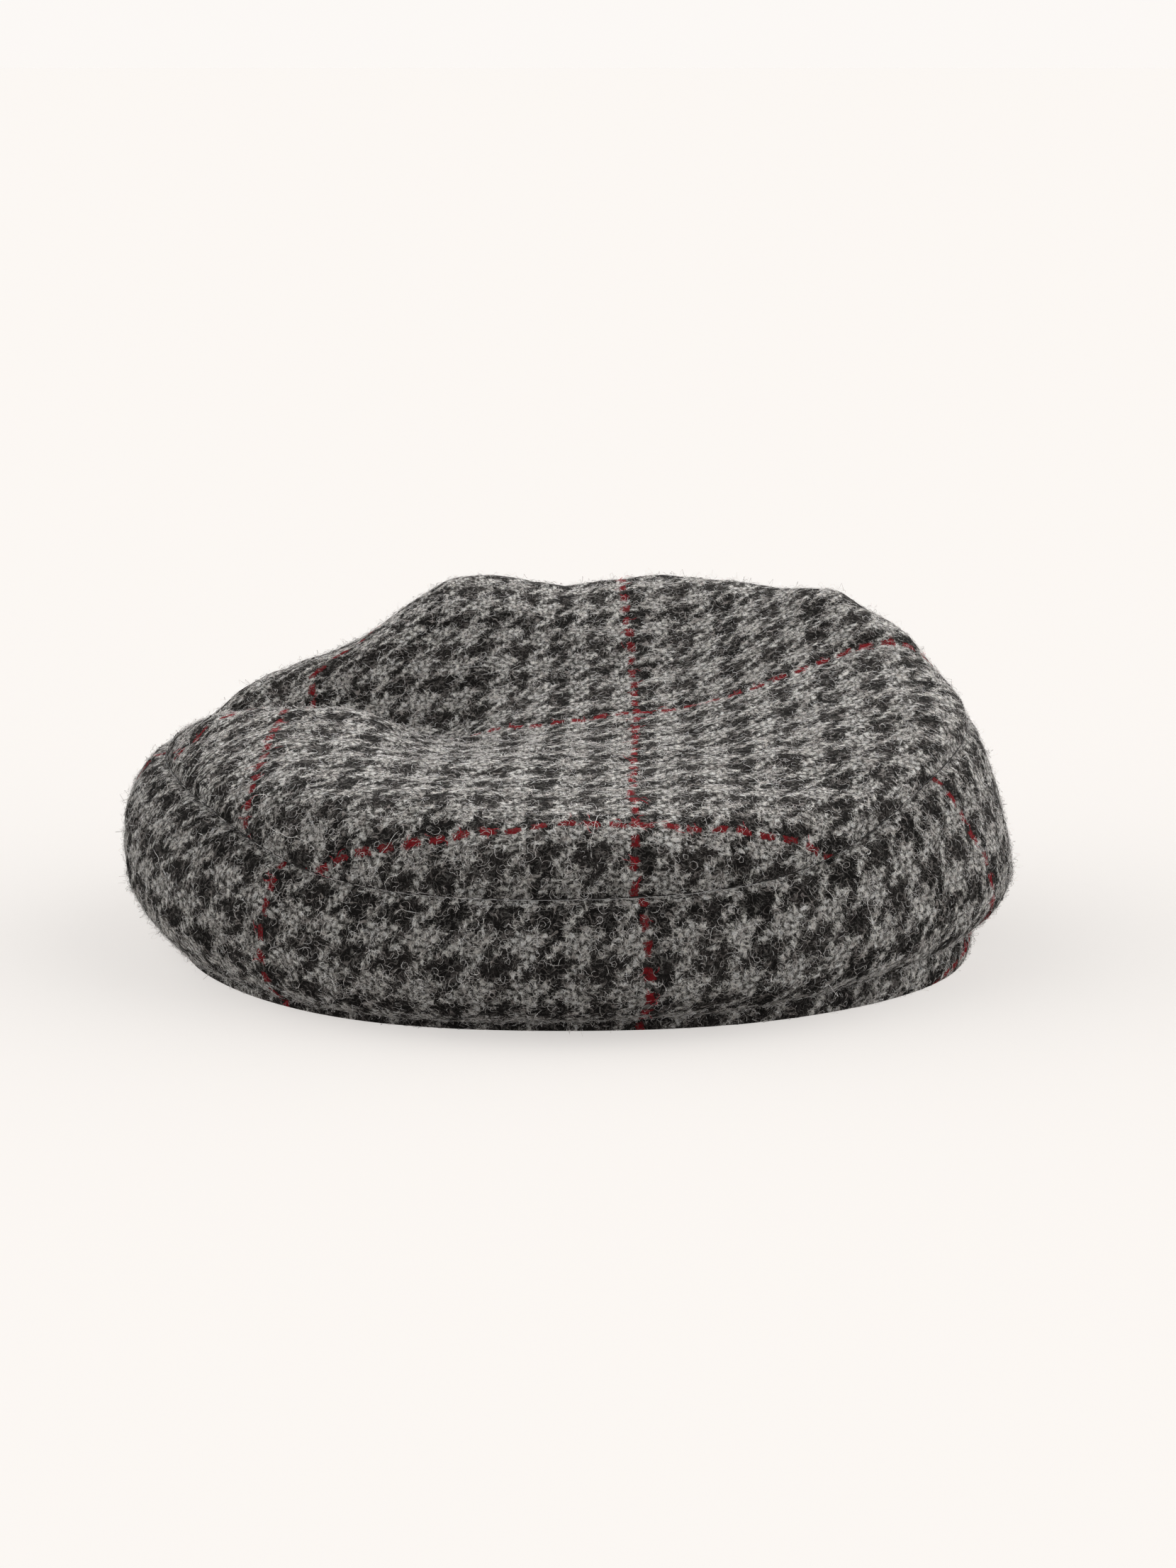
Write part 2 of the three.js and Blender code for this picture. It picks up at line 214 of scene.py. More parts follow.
class TamSizes(bpy.types.PropertyGroup):
    """Sizes of the hat as it lies, all in metres"""
    hat_width: bpy.props.FloatProperty(
        name="Hat width", description="Side panel, widest point to widest point",
        default=0.281, unit="LENGTH")
    hat_depth: bpy.props.FloatProperty(
        name="Hat depth", description="Side panel, front to back", default=0.260, unit="LENGTH")
    top_height: bpy.props.FloatProperty(
        name="Top height", description="Highest swell of the top", default=0.100, unit="LENGTH")
    seam_height: bpy.props.FloatProperty(
        name="Seam height", description="Crown seam where it stands highest", default=0.070,
        unit="LENGTH")
    opening_width: bpy.props.FloatProperty(
        name="Opening width", description="Head opening across", default=0.178, unit="LENGTH")
    opening_depth: bpy.props.FloatProperty(
        name="Opening depth", description="Head opening front to back", default=0.189, unit="LENGTH")
    band_height: bpy.props.FloatProperty(
        name="Band height", description="Headband inside the opening", default=0.028, unit="LENGTH")
    cloth: bpy.props.FloatProperty(
        name="Cloth", description="Thickness of the milled wool cloth", default=0.0025, unit="LENGTH")
    band_cloth: bpy.props.FloatProperty(
        name="Band cloth", description="Thickness of the headband", default=0.0022, unit="LENGTH")
    seam_sink: bpy.props.FloatProperty(
        name="Seam sink", description="How far the crown seam pulls the cloth in", default=0.0016,
        unit="LENGTH")
    seam_roll: bpy.props.FloatProperty(
        name="Seam roll", description="Cloth on each side that rolls into the seam", default=0.005,
        unit="LENGTH")
    foot_strip: bpy.props.FloatProperty(
        name="Foot strip", description="Strip of cloth below the crease at the foot", default=0.010,
        unit="LENGTH")
    strip_bulge: bpy.props.FloatProperty(
        name="Strip bulge", description="How far the foot strip swells out", default=0.0012,
        unit="LENGTH")
    gap: bpy.props.FloatProperty(
        name="Gap", description="Between two sewn pieces", default=0.0003, unit="LENGTH")
    yarn: bpy.props.FloatProperty(
        name="Yarn", description="From one yarn of the cloth to the next", default=0.00183,
        unit="LENGTH")


class TamColours(bpy.types.PropertyGroup):
    """Colours of the wool and of the table"""
    light: bpy.props.FloatVectorProperty(
        name="Light wool", description="The pale grey yarns", subtype="COLOR", size=3,
        min=0.0, max=1.0, default=(0.97, 0.885, 0.835))
    charcoal: bpy.props.FloatVectorProperty(
        name="Charcoal wool", description="Every second group of dark yarns", subtype="COLOR", size=3,
        min=0.0, max=1.0, default=(0.030, 0.026, 0.0245))
    black: bpy.props.FloatVectorProperty(
        name="Black wool", description="The darkest yarns", subtype="COLOR", size=3,
        min=0.0, max=1.0, default=(0.0060, 0.0050, 0.0045))
    red: bpy.props.FloatVectorProperty(
        name="Red wool", description="The yarns of the overcheck", subtype="COLOR", size=3,
        min=0.0, max=1.0, default=(0.46, 0.014, 0.024))
    table: bpy.props.FloatVectorProperty(
        name="Table", description="The surface that the hat lies on", subtype="COLOR", size=3,
        min=0.0, max=1.0, default=(0.93, 0.90, 0.875))


def smooth_between(before, start, end, after, part):
    """The smooth curve through four values, between the second and the third."""
    rise, fall = 0.5 * (end - before), 0.5 * (after - start)
    square = part * part
    cube = square * part
    return (start * (2 * cube - 3 * square + 1) + rise * (cube - 2 * square + part)
            + end * (3 * square - 2 * cube) + fall * (cube - square))


def around(rows, columns, name, turn):
    """A column of a table that goes round the hat, at any turn in degrees."""
    values = np.array([row[columns.index(name)] for row in rows], float)
    place = np.mod(turn, 360.0) * len(values) / 360.0
    first = np.floor(place).astype(int)
    return smooth_between(*[values[(first + step) % len(values)] for step in (-1, 0, 1, 2)],
                          place - first)


def seam(name, turn):
    return around(SEAM_ROWS, SEAM_COLUMNS, name, turn)


def wall(name, turn):
    return around(WALL_ROWS, WALL_COLUMNS, name, turn)


def half(sizes):
    return np.array([sizes.hat_width, sizes.hat_depth]) / 2


def top_height(sizes, across, back):
    """Height of the top before it turns down to its seam, at shares of the half width and depth."""
    table = np.array(TOP_ROWS, float)
    last = len(table) - 1

    def cells(value):
        place = np.clip(value / TOP_STEP + last / 2, 0, last)
        first = np.minimum(np.floor(place).astype(int), last - 1)
        return [np.clip(first + step, 0, last) for step in (-1, 0, 1, 2)], place - first

    columns, part = cells(across)
    rows, back_part = cells(back)
    at = [smooth_between(*[table[row, column] for column in columns], part) for row in rows]
    share = smooth_between(*at, back_part)
    place = np.stack([across, back], -1) * half(sizes)
    for start, end, rise, spread in FOLDS:
        start, end = np.array(start) * half(sizes), np.array(end) * half(sizes)
        run = end - start
        along = np.clip(((place - start) @ run) / (run @ run), 0, 1)
        off = np.linalg.norm(place - start - along[..., None] * run, axis=-1)
        share = share + rise * np.exp(-((off / (spread * sizes.hat_width)) ** 2))
    return sizes.top_height * share


def point_at(sizes, turn, out, up):
    """Points over the hat from their turn, share of the half width and half depth, and height."""
    angle = np.radians(turn)
    width, depth = half(sizes)
    return np.stack([width * out * np.cos(angle), depth * out * np.sin(angle), up + 0 * out], -1)


def outward(sizes, turn):
    """Directions straight out from the hat's rim."""
    angle = np.radians(turn)
    width, depth = half(sizes)
    way = np.stack([np.cos(angle) / width, np.sin(angle) / depth, 0 * angle], -1)
    return way / np.linalg.norm(way, axis=-1, keepdims=True)


def seam_at(sizes, turn):
    """The crown seam: its place, the way it faces, and the way the cloth runs across it."""
    lean = np.radians(seam("lean", turn))[..., None]
    out = outward(sizes, turn)
    up = np.array([0.0, 0.0, 1.0])
    facing = out * np.cos(lean) + up * np.sin(lean)
    down = out * np.sin(lean) - up * np.cos(lean)
    place = point_at(sizes, turn, seam("out", turn), sizes.seam_height * seam("up", turn))
    return place, facing, down


def pulled_in(sizes, point, place, facing):
    """Points of the cloth, pulled in near the crown seam."""
    gap = np.linalg.norm(point - place, axis=-1) / (0.5 * sizes.seam_roll)
    return point - facing * (sizes.seam_sink * np.exp(-(gap ** 2)))[..., None]


def waves(point, longest, shortest, seed):
    """A smooth unevenness over space, mostly from -1 to 1, and the same in every run."""
    rng = np.random.default_rng(seed)
    total = 0
    for _ in range(LUMP_WAVES):
        way = rng.normal(size=3)
        length = rng.uniform(shortest, longest)
        way *= 2 * math.pi / length / np.linalg.norm(way)
        total = total + np.sin(point @ way + rng.uniform(0, 2 * math.pi))
    return total / LUMP_DIVISOR


def lumps(point, seeds):
    """How high the cloth's lumps stand over space."""
    return MM * sum(size * waves(point, longest, shortest, seed)
                    for (size, longest, shortest), seed in zip(LUMPS, seeds))


def top_point(sizes, turn, share):
    """The top's outer face, at a turn and a share of the way from its middle to its seam."""
    place, facing, _ = seam_at(sizes, turn)
    out = share * seam("out", turn)
    angle = np.radians(turn)
    plain = top_height(sizes, out * np.cos(angle), out * np.sin(angle))
    up = place[..., 2] + (plain - place[..., 2]) * (1 - share ** seam("shoulder", turn))
    point = point_at(sizes, turn, out, up)
    point = pulled_in(sizes, point, place, facing)

    # The lumps fade out towards the seam.
    fade = np.clip((1 - share) * 12, 0, 1)
    point[..., 2] += fade * lumps(point * [1, 1, 0], TOP_SEEDS)
    return point


def bow(start, middle, end, part):
    """The curve from start to end that is drawn towards middle."""
    part = part[..., None]
    return start * (1 - part) ** 2 + middle * 2 * part * (1 - part) + end * part ** 2


def side_point(sizes, turn, along):
    """The side panel's outer face. along runs from 0 at the crown seam to 1 at the widest point,
    2 at the crease, 3 at the foot and 4 at the head opening."""
    place, facing, down = seam_at(sizes, turn)
    bulge_out = wall("bulge_out", turn)
    bulge_up = place[..., 2] * wall("bulge_up", turn)
    bulge = point_at(sizes, turn, bulge_out, bulge_up)
    crease = point_at(sizes, turn, wall("foot_out", turn), sizes.foot_strip * wall("strip", turn))
    foot = crease * [1, 1, 0]
    held = point_at(sizes, turn, bulge_out, bulge_up + (place[..., 2] - bulge_up) * wall("full", turn))
    under = point_at(sizes, turn, bulge_out, bulge_up + (crease[..., 2] - bulge_up) * wall("square", turn))
    mouth = opening_point(sizes, turn, 0.0, 0.0)
    upper = pulled_in(sizes, bow(place, held, bulge, np.clip(along, 0, 1)), place, facing)
    upper = upper + down * (sizes.gap * np.clip(1 - along * 12, 0, 1))[..., None]
    tuck = bow(bulge, under, crease, np.clip(along - 1, 0, 1))
    fall = np.clip(along - 2, 0, 1)[..., None]
    swell = (sizes.strip_bulge * wall("strip", turn))[..., None] * np.sin(np.pi * fall)
    strip = crease + (foot - crease) * fall + outward(sizes, turn) * swell
    flat = foot + (mouth - foot) * np.clip(along - 3, 0, 1)[..., None]
    part = along[..., None]
    point = np.where(part <= 1, upper, np.where(part <= 2, tuck, np.where(part <= 3, strip, flat)))

    # The lumps fade in below the seam, and out again towards the foot.
    fade = np.clip(along * 5, 0, 1) * np.clip((2.2 - along) * 1.5, 0, 1)
    return point + outward(sizes, turn) * ((lumps(point, SIDE_SEEDS) - SIDE_SUNK) * fade)[..., None]


def opening_point(sizes, turn, inset, up):
    """The head opening's edge, moved in by an inset."""
    angle = np.radians(turn)
    across = (sizes.opening_width / 2 - inset) * np.cos(angle)
    return np.stack([across, (sizes.opening_depth / 2 - inset) * np.sin(angle), up + 0 * angle], -1)


def turn_and_share(sizes, plan):
    """The turn and share of places on the top, seen from above."""
    across, back = (plan / half(sizes)).T
    turn = np.degrees(np.arctan2(back, across))
    return turn, np.hypot(across, back) / seam("out", turn)


def line_at(table, value):
    return np.interp(value, *np.array(table, float).T)


class TopMap:
    """Yarns counted over the top, from its middle red ones: to the right, and to the back."""

    def __init__(self, sizes):
        step = MAP_STEP
        self.x, self.y = [np.arange(-reach, reach + 0.1 * MM, step) for reach in MAP_REACH]
        plan = np.stack(np.meshgrid(self.x, self.y), -1).reshape(-1, 2)
        turn, share = turn_and_share(sizes, plan)
        height = top_point(sizes, turn, np.minimum(share, 1.0))[:, 2].reshape(len(self.y), -1)
        right = np.cumsum(np.hypot(step, np.diff(height, axis=1, prepend=height[:, :1])), 1)
        back = np.cumsum(np.hypot(step, np.diff(height, axis=0, prepend=height[:1])), 0)
        self.right = np.empty_like(right)
        for row, y in enumerate(self.y):
            middle, left = np.interp([line_at(CENTRE_WARP, y), line_at(LEFT_WARP, y)], self.x, right[row])
            off = right[row] - middle
            self.right[row] = np.where(off < 0, off * PANE / (middle - left), off / sizes.yarn)
        self.back = np.empty_like(back)
        for column, x in enumerate(self.x):
            middle, front = np.interp([line_at(MIDDLE_WEFT, x), line_at(FRONT_WEFT, x)], self.y,
                                      back[:, column])
            off = back[:, column] - middle
            self.back[:, column] = np.where(off < 0, off * PANE / (middle - front), off / sizes.yarn)

    def __call__(self, plan):
        place = (plan - [self.x[0], self.y[0]]) / MAP_STEP
        place = np.clip(place, 0, [len(self.x) - 1.001, len(self.y) - 1.001])
        column, row = place.astype(int).T
        across, up = (place - place.astype(int)).T
        out = []
        for grid in (self.right, self.back):
            near = grid[row, column] * (1 - across) + grid[row, column + 1] * across
            far = grid[row + 1, column] * (1 - across) + grid[row + 1, column + 1] * across
            out.append(near * (1 - up) + far * up)
        return np.stack(out, -1)


def panel_map(sizes, turn, along):
    """Yarns counted round the side panel from its middle red one, and falling down from its seam."""
    turn = np.mod(turn - PANEL_BACK, 360) + PANEL_BACK
    rows, apart = 60, 2
    steps = np.linspace(0, 4, 4 * rows + 1)
    turns = np.linspace(PANEL_BACK, PANEL_BACK + 360, 360 // apart + 1)
    grid = np.stack(np.meshgrid(turns, steps), -1).reshape(-1, 2)
    face = side_point(sizes, grid[:, 0], grid[:, 1]).reshape(len(steps), len(turns), 3)
    down = np.cumsum(np.linalg.norm(np.diff(face, axis=0, prepend=face[:1]), axis=-1), 0)
    place = (turn - PANEL_BACK) / apart
    column = np.minimum(place.astype(int), len(turns) - 2)
    part = place - column
    row = np.clip(along * rows, 0, 4 * rows - 0.001)
    first = row.astype(int)
    rest = row - first
    near = down[first, column] * (1 - rest) + down[first + 1, column] * rest
    far = down[first, column + 1] * (1 - rest) + down[first + 1, column + 1] * rest
    fallen = near * (1 - part) + far * part
    leaning = turn - line_at(PANEL_LEAN, turn) * np.clip(fallen / PANEL_LEAN_RUN, 0, 1)
    return np.stack([line_at(PANEL_YARNS, leaning), PANEL_TOP_YARN - fallen / sizes.yarn], -1)


def spun(steps, spokes):
    """A flat disc or ring in a bmesh, with a ring of vertices at each step from the middle."""
    mesh = bmesh.new()
    line = [mesh.verts.new((step, 0.0, 0.0)) for step in steps]
    edges = [mesh.edges.new(pair) for pair in zip(line, line[1:])]
    bmesh.ops.spin(mesh, geom=line + edges, cent=(0, 0, 0), axis=(0, 0, 1), angle=2 * math.pi,
                   steps=spokes, use_merge=True)
    bmesh.ops.remove_doubles(mesh, verts=mesh.verts, dist=1e-6)
    bmesh.ops.recalc_face_normals(mesh, faces=mesh.faces)
    if sum(face.normal.z for face in mesh.faces) < 0:
        bmesh.ops.reverse_faces(mesh, faces=mesh.faces)
    return mesh


def laid(name, mesh, lay, count, wrap, thickness):
    """A spun ring laid to its shape by a function of turn and step, with the yarns counted in its
    UV map, walled to a thickness and closed."""
    flat = np.array([vertex.co[:2] for vertex in mesh.verts])
    turn, step = np.degrees(np.arctan2(flat[:, 1], flat[:, 0])), np.hypot(*flat.T)
    places, yarns = lay(turn, step), count(turn, step)
    for vertex, place in zip(mesh.verts, places):
        vertex.co = place
    chart = mesh.loops.layers.uv.new("yarns")
    mesh.verts.index_update()
    for face in mesh.faces:
        face.smooth = True
        middle = yarns[face.verts[0].index, 0]
        for loop in face.loops:
            right, back = yarns[loop.vert.index]
            if wrap:
                right += wrap * round((middle - right) / wrap)
            loop[chart].uv = (right, back)
    data = bpy.data.meshes.new(name)
    mesh.to_mesh(data)
    mesh.free()
    piece = bpy.data.objects.new(name, data)
    bpy.context.scene.collection.objects.link(piece)
    wall_of = piece.modifiers.new("Cloth", "SOLIDIFY")
    wall_of.thickness = thickness
    wall_of.offset = -1.0
    return piece


class Nodes:
    """Adds nodes to a material or a world, and joins each to what it reads."""

    def __init__(self, owner, shader="Principled BSDF"):
        owner.use_nodes = True
        self.tree = owner.node_tree
        self.shader = self.tree.nodes[shader]

    def add(self, kind, inputs=None, **settings):
        node = self.tree.nodes.new(kind)
        for name, value in settings.items():
            setattr(node, name, value)
        for name, value in (inputs or {}).items():
            self.set(node.inputs[name], value)
        return node

    def set(self, socket, value):
        if isinstance(value, bpy.types.NodeSocket):
            self.tree.links.new(value, socket)
        else:
            socket.default_value = value

    def look(self, values):
        """Sets the shader's sockets."""
        for name, value in values.items():
            self.set(self.shader.inputs[name], value)

    def parts(self, vector):
        return self.add("ShaderNodeSeparateXYZ", {"Vector": vector}).outputs

    def math(self, operation, *values):
        return self.add("ShaderNodeMath", dict(enumerate(values)), operation=operation).outputs[0]

    def vector(self, operation, *values):
        node = self.add("ShaderNodeVectorMath", dict(enumerate(values)), operation=operation)
        return node.outputs[0]

    def wander(self, chart, space, scale, detail, amount):
        """The chart, shifted about by a noise."""
        noise = self.noise(space, scale, detail, 0.65, 0.5).outputs["Color"]
        shift = self.vector("SUBTRACT", noise, (0.5, 0.5, 0.5))
        scaled = self.add("ShaderNodeVectorMath", {"Vector": shift, "Scale": amount}, operation="SCALE")
        return self.vector("ADD", chart, scaled.outputs[0])

    def twill(self, chart):
        """Two over, two under: the step of the weave, whether the warp shows, and the yarn that shows."""
        warp, weft = [self.math("FLOOR", part) for part in self.parts(chart)[:2]]
        step = self.math("FLOORED_MODULO", self.math("SUBTRACT", weft, warp), REPEAT)
        over = self.math("LESS_THAN", step, REPEAT / 2 - 0.5)
        return step, over, self.pick(over, warp, weft)

    def noise(self, place, scale, detail=2.0, roughness=0.5, distortion=0.0):
        return self.add("ShaderNodeTexNoise", {
            "Vector": place, "Scale": scale, "Detail": detail, "Roughness": roughness,
            "Distortion": distortion})

    def hairs(self, space, scale, offset, bare=0.40):
        """Thin curling lines where a noise crosses any of three levels, broken into short lengths."""
        place = self.vector("ADD", space, (offset, offset, offset))
        field = self.noise(place, scale, 1.0, 0.35, 0.9).outputs["Fac"]
        level = self.math("SUBTRACT", self.math("FRACT", self.math("MULTIPLY", field, 3.0)), 0.5)
        line = self.ramp(self.math("ABSOLUTE", level), 0.02, 0.11, 1.0, 0.0)
        ends = self.noise(place, scale * 0.8, 1.0).outputs["Fac"]
        return self.math("MULTIPLY", line, self.ramp(ends, bare, bare + 0.14))

    def from_middle(self, value, shift, repeat):
        """How far a value, shifted, is from the middle of its repeat."""
        part = self.math("FLOORED_MODULO", self.math("ADD", value, shift), repeat)
        return self.math("ABSOLUTE", self.math("SUBTRACT", part, repeat / 2))

    def pick(self, choice, one, other):
        """The first value where the choice is 1, and the other where it is 0."""
        return self.math("ADD", self.math("MULTIPLY", choice, self.math("SUBTRACT", one, other)), other)

    def mix(self, part, one, other):
        node = self.add("ShaderNodeMix", data_type="RGBA")
        for socket, value in zip((node.inputs[0], node.inputs[6], node.inputs[7]), (part, one, other)):
            self.set(socket, value)
        return node.outputs[2]

    def ramp(self, value, low, high, out_low=0.0, out_high=1.0):
        node = self.add("ShaderNodeMapRange", {
            "Value": value, "From Min": low, "From Max": high, "To Min": out_low, "To Max": out_high},
            interpolation_type="SMOOTHSTEP")
        return node.outputs[0]


def shade(colour, factor=1.0):
    return (*[min(part * factor, 1.0) for part in colour], 1.0)


def floats(n, chart):
    """Each float of the weave as a rounded stroke, two yarns long."""
    step, over, _ = n.twill(chart)
    right, back = [n.math("FRACT", part) for part in n.parts(chart)[:2]]
    standing = n.math("ADD", step, back)
    lying = n.math("ADD", n.math("SUBTRACT", REPEAT - 1, step), right)
    along = n.pick(over, standing, lying)
    across = n.pick(over, right, back)
    stroke = n.math("MULTIPLY", n.math("SINE", n.math("MULTIPLY", across, math.pi)),
                    n.math("SINE", n.math("MULTIPLY", along, math.pi / 2)))
    return n.math("POWER", n.math("MAXIMUM", stroke, 0.0), 0.6)


def red_yarns(n, chart):
    """Where the red yarns show: over two or three others in every four."""
    warp, weft = n.parts(chart)[:2]
    red = 0.0
    for run, other, shift, dash in ((weft, warp, 0.0, 1.25), (warp, weft, 1.0, 1.15)):
        width = n.ramp(n.from_middle(run, (PANE - 1) / 2, PANE), 0.45, 0.8, 1.0, 0.0)
        length = n.ramp(n.from_middle(other, shift, REPEAT), dash - 0.15, dash + 0.15, 1.0, 0.0)
        red = n.math("MAXIMUM", red, n.math("MULTIPLY", width, length))
    return red


def light_yarns(n, colours, space, wool, stroke):
    """The light yarns: speckled, darker in patches, with a painted highlight on the floats' crests."""
    tone = n.noise(space, 480.0, 3.0, 0.65).outputs["Fac"]
    patches = n.noise(space, 190.0, 2.0, 0.6).outputs["Fac"]
    light = n.mix(n.ramp(wool, 0.34, 0.62), shade(colours.light, 0.14), shade(colours.light, 1.1))
    light = n.mix(n.ramp(tone, 0.42, 0.66, 0.0, 0.5), light, shade(colours.charcoal, 1.3))
    light = n.mix(n.ramp(patches, 0.38, 0.56, 0.7, 0.0), light, shade(colours.light, 0.22))
    # Painted highlight: the light yarns turn paler where each float's rounded stroke stands highest.
    painted_highlight = n.ramp(n.math("MULTIPLY", stroke, patches), 0.3, 0.6, 0.0, 0.8)
    return n.mix(painted_highlight, light, shade(colours.light, 1.2))


def matted_fibres(n, colours, space, colour, dark, crest):
    """The colour with the mat of curly fibres over it, and how thick the mat lies."""
    mat = 0.0
    for scale, offset, over_light, over_dark, wool, factor in MAT_ROWS:
        hairs = n.hairs(space, scale, offset)
        shown = n.pick(dark, over_dark, over_light)
        strength = n.math("MULTIPLY", n.math("MULTIPLY", hairs, crest), shown)
        colour = n.mix(strength, colour, shade(getattr(colours, wool), factor))
        mat = n.math("ADD", mat, hairs)
    stray = n.math("MULTIPLY", n.hairs(space, STRAY_SCALE, STRAY_PLACE, STRAY_BARE), STRAY_STRENGTH)
    return n.mix(stray, colour, shade(colours.light, 0.8)), mat


def tweed(name, colours):
    """Milled houndstooth tweed with a red overcheck, from the yarns counted in the UV map."""
    material = bpy.data.materials.new(name)
    n = Nodes(material)
    space = n.add("ShaderNodeTexCoord").outputs["Object"]
    chart = n.add("ShaderNodeUVMap", uv_map="yarns").outputs[0]

    chart = n.wander(chart, space, 110.0, 1.0, 1.4)
    chart = n.wander(chart, space, 700.0, 2.0, 1.5)
    edges = n.wander(n.wander(chart, space, 800.0, 2.0, 1.2), space, 2600.0, 3.0, 2.6)
    yarn = n.twill(edges)[2]
    dark, black = [n.math("LESS_THAN", n.math("FLOORED_MODULO", yarn, groups * GROUP), GROUP - 0.5)
                   for groups in (2, 4)]

    # Light, charcoal and black yarns, with painted shade in the gaps between their floats.
    stroke = floats(n, chart)
    wool = n.noise(space, 3000.0, 4.0, 0.8, 2.0).outputs["Fac"]
    light = light_yarns(n, colours, space, wool, stroke)
    soot = n.mix(n.ramp(wool, 0.5, 0.75, 0.0, 0.35), shade(colours.black), shade(colours.charcoal))
    ash = n.mix(n.ramp(wool, 0.35, 0.65), shade(colours.charcoal, 0.4), shade(colours.charcoal, 1.7))
    colour = n.mix(dark, light, n.mix(black, ash, soot))
    # Painted shade: nearly black where the floats fall away at their edges, broken up by the wool's noise.
    gap = n.math("ADD", n.math("MULTIPLY", stroke, 0.5), wool)
    colour = n.mix(n.ramp(gap, 0.51, 1.07, 0.04, 1.0), shade(colours.black, 1.2), colour)

    # Fibres are matted over them, and the red yarns show through where the mat is thin.
    crest = n.ramp(stroke, 0.1, 0.7, 0.7, 1.0)
    colour, mat = matted_fibres(n, colours, space, colour, dark, crest)
    crimson = n.mix(n.ramp(wool, 0.3, 0.7), shade(colours.red, 0.2), shade(colours.red, 0.95))
    seen = n.math("MULTIPLY", red_yarns(n, chart), n.ramp(mat, 0.2, 1.2, 0.95, 0.4))
    colour = n.mix(seen, colour, crimson)

    # Relief of the floats and of the matted wool.
    fluff = n.math("ADD", wool, n.math("MULTIPLY", mat, 0.35))
    relief = n.math("ADD", n.math("MULTIPLY", stroke, 1.2), fluff)
    bump = n.add("ShaderNodeBump", {"Strength": 1.0, "Distance": 1.6 * MM, "Height": relief})
    n.look({"Base Color": colour, "Roughness": 0.95, "Specular IOR Level": 0.02,
            "Sheen Weight": 0.02, "Sheen Roughness": 0.6, "Normal": bump.outputs[0]})
    return material


def plain_wool(name, colour):
    """One fibre's wool, with a soft gloss."""
    material = bpy.data.materials.new(name)
    n = Nodes(material)
    space = n.add("ShaderNodeTexCoord").outputs["Object"]
    tone = n.ramp(n.noise(space, 700.0, 2.0).outputs["Fac"], 0.3, 0.7)
    n.look({"Base Color": n.mix(tone, shade(colour, 0.7), shade(colour, 1.3)), "Roughness": 0.7,
            "Specular IOR Level": 0.12})
    return material


def finish_piece(piece, node, material):
    piece.data.materials.append(material)
    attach(piece, "root")
    if node:
        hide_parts(node)


def cloth_material(colours):
    return bpy.data.materials.get("houndstooth tweed") or tweed("houndstooth tweed", colours)


class TAM_OT_top(bpy.types.Operator):
    """Lays the round top of the hat, with its slumped swells and folds"""
    bl_idname = "tam.top"
    bl_label = "Top"

    def execute(self, context):
        sizes = context.scene.tam_sizes
        # The rings stand closer together towards the seam.
        rings = np.sin(np.linspace(0, math.pi / 2, 60)) ** 0.9
        chart = TopMap(sizes)

        def count(turn, share):
            return chart(point_at(sizes, turn, share * seam("out", turn), 0.0)[:, :2])

        piece = laid("crown_top_cloth", spun(rings, SPOKES), lambda *at: top_point(sizes, *at), count, 0,
                     sizes.cloth)
        finish_piece(piece, "crown_top", cloth_material(context.scene.tam_colours))
        return {"FINISHED"}


class TAM_OT_side(bpy.types.Operator):
    """Lays the side panel, from the crown seam over its bulge and in under the hat"""
    bl_idname = "tam.side"
    bl_label = "Side panel"

    def execute(self, context):
        sizes = context.scene.tam_sizes
        # The rows stand closest together at the seam.
        steps = np.concatenate([np.linspace(0, 0.15, 6), np.linspace(0.15, 2, 34)[1:],
                                np.linspace(2, 3, 6)[1:], np.linspace(3, 4, 8)[1:]])
        yarns = PANEL_YARNS[-1][1] - PANEL_YARNS[0][1]
        piece = laid("side_panel_cloth", spun(steps + 1, SPOKES),
                     lambda turn, step: side_point(sizes, turn, step - 1),
                     lambda turn, step: panel_map(sizes, turn, step - 1), yarns, sizes.cloth)
        finish_piece(piece, "side_panel", cloth_material(context.scene.tam_colours))
        return {"FINISHED"}


